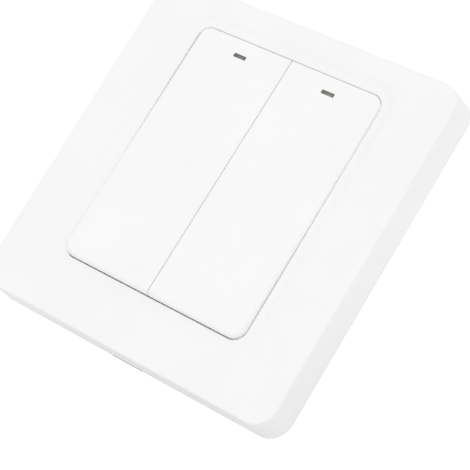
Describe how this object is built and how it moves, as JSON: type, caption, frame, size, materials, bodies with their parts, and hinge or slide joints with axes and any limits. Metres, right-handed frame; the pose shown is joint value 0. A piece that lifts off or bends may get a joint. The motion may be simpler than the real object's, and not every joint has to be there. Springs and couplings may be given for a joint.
{
  "type": "wireless wall switch",
  "caption": "Square wall plate with a shallow recess and long rocker keys side by side, each with a small indicator window, over a battery radio transmitter.",
  "frame": {"origin": "centre of the back face of the rear tray, on the wall's surface", "axes": "+Z out of the wall towards the user, +Y up the wall (towards the indicator windows), +X right"},
  "size_m": [0.086, 0.086, 0.0101],
  "materials": {
    "frame_abs": "white moulded ABS with a fine satin gloss",
    "key_abs": "white moulded ABS, slightly glossier than the frame",
    "tray_abs": "white moulded ABS with a fine matt texture",
    "carrier_abs": "off-white moulded ABS",
    "smoked_polycarbonate": "smoky clear polycarbonate",
    "board_laminate": "green solder mask on glass-epoxy laminate",
    "holder_nylon": "black moulded nylon",
    "nickel_strip": "nickel-plated spring strip",
    "cell_steel": "nickel-plated steel can",
    "chip_epoxy": "black moulded epoxy",
    "can_nickel": "drawn nickel-plated can",
    "resistor_ceramic": "chip ceramic with tinned ends",
    "capacitor_ceramic": "tan chip ceramic with tinned ends",
    "tinned_copper": "tinned copper wire",
    "zinc_steel": "zinc-plated steel",
    "switch_nylon": "black moulded nylon",
    "switch_steel": "stamped stainless sheet",
    "plunger_acetal": "black acetal",
    "tinned_leads": "tin-plated leads",
    "led_resin": "clear resin on a white base"
  },
  "bodies": {
    "housing": {"wall_base": "tray_abs", "front_frame": "frame_abs", "button_carrier": "carrier_abs", "circuit_board": "board_laminate", "cell_holder": "holder_nylon", "cell_top_contact": "nickel_strip", "cell_bottom_contact": "nickel_strip", "coin_cell": "cell_steel", "encoder_chip": "chip_epoxy", "resonator_can": "can_nickel", "transistors": "chip_epoxy", "resistors": "resistor_ceramic", "capacitors": "capacitor_ceramic", "antenna_wire": "tinned_copper", "carrier_screws": "zinc_steel", "switch_body_left": "switch_nylon", "switch_cover_left": "switch_steel", "switch_dome_left": "switch_steel", "switch_terminals_left": "tinned_leads", "indicator_led_left": "led_resin", "switch_body_right": "switch_nylon", "switch_cover_right": "switch_steel", "switch_dome_right": "switch_steel", "switch_terminals_right": "tinned_leads", "indicator_led_right": "led_resin"},
    "key_left": {"rocker_left": "key_abs", "indicator_lens_left": "smoked_polycarbonate"},
    "plunger_left": {"switch_plunger_left": "plunger_acetal"},
    "key_right": {"rocker_right": "key_abs", "indicator_lens_right": "smoked_polycarbonate"},
    "plunger_right": {"switch_plunger_right": "plunger_acetal"}
  },
  "joints": [
    {"name": "key_left_tilt", "type": "hinge", "parent": "housing", "child": "key_left", "pos_m": [-0.0132, 0.03039, 0.0054], "axis": [1, 0, 0], "range_deg": [0, 1.3], "stiffness_Nm_per_rad": 1.4, "springref_deg": -0.57},
    {"name": "plunger_left_press", "type": "slide", "parent": "housing", "child": "plunger_left", "axis": [0, 0, -1], "range_m": [0, 0.00033], "deforming": ["switch_dome_left"]},
    {"name": "key_right_tilt", "type": "hinge", "parent": "housing", "child": "key_right", "pos_m": [0.0132, 0.03039, 0.0054], "axis": [1, 0, 0], "range_deg": [0, 1.3], "stiffness_Nm_per_rad": 1.4, "springref_deg": -0.57},
    {"name": "plunger_right_press", "type": "slide", "parent": "housing", "child": "plunger_right", "axis": [0, 0, -1], "range_m": [0, 0.00033], "deforming": ["switch_dome_right"]}
  ],
  "couplings": [
    {"joint": "plunger_left_press", "follows": "key_left_tilt", "m_per_rad": 0.014},
    {"joint": "plunger_right_press", "follows": "key_right_tilt", "m_per_rad": 0.014}
  ]
}
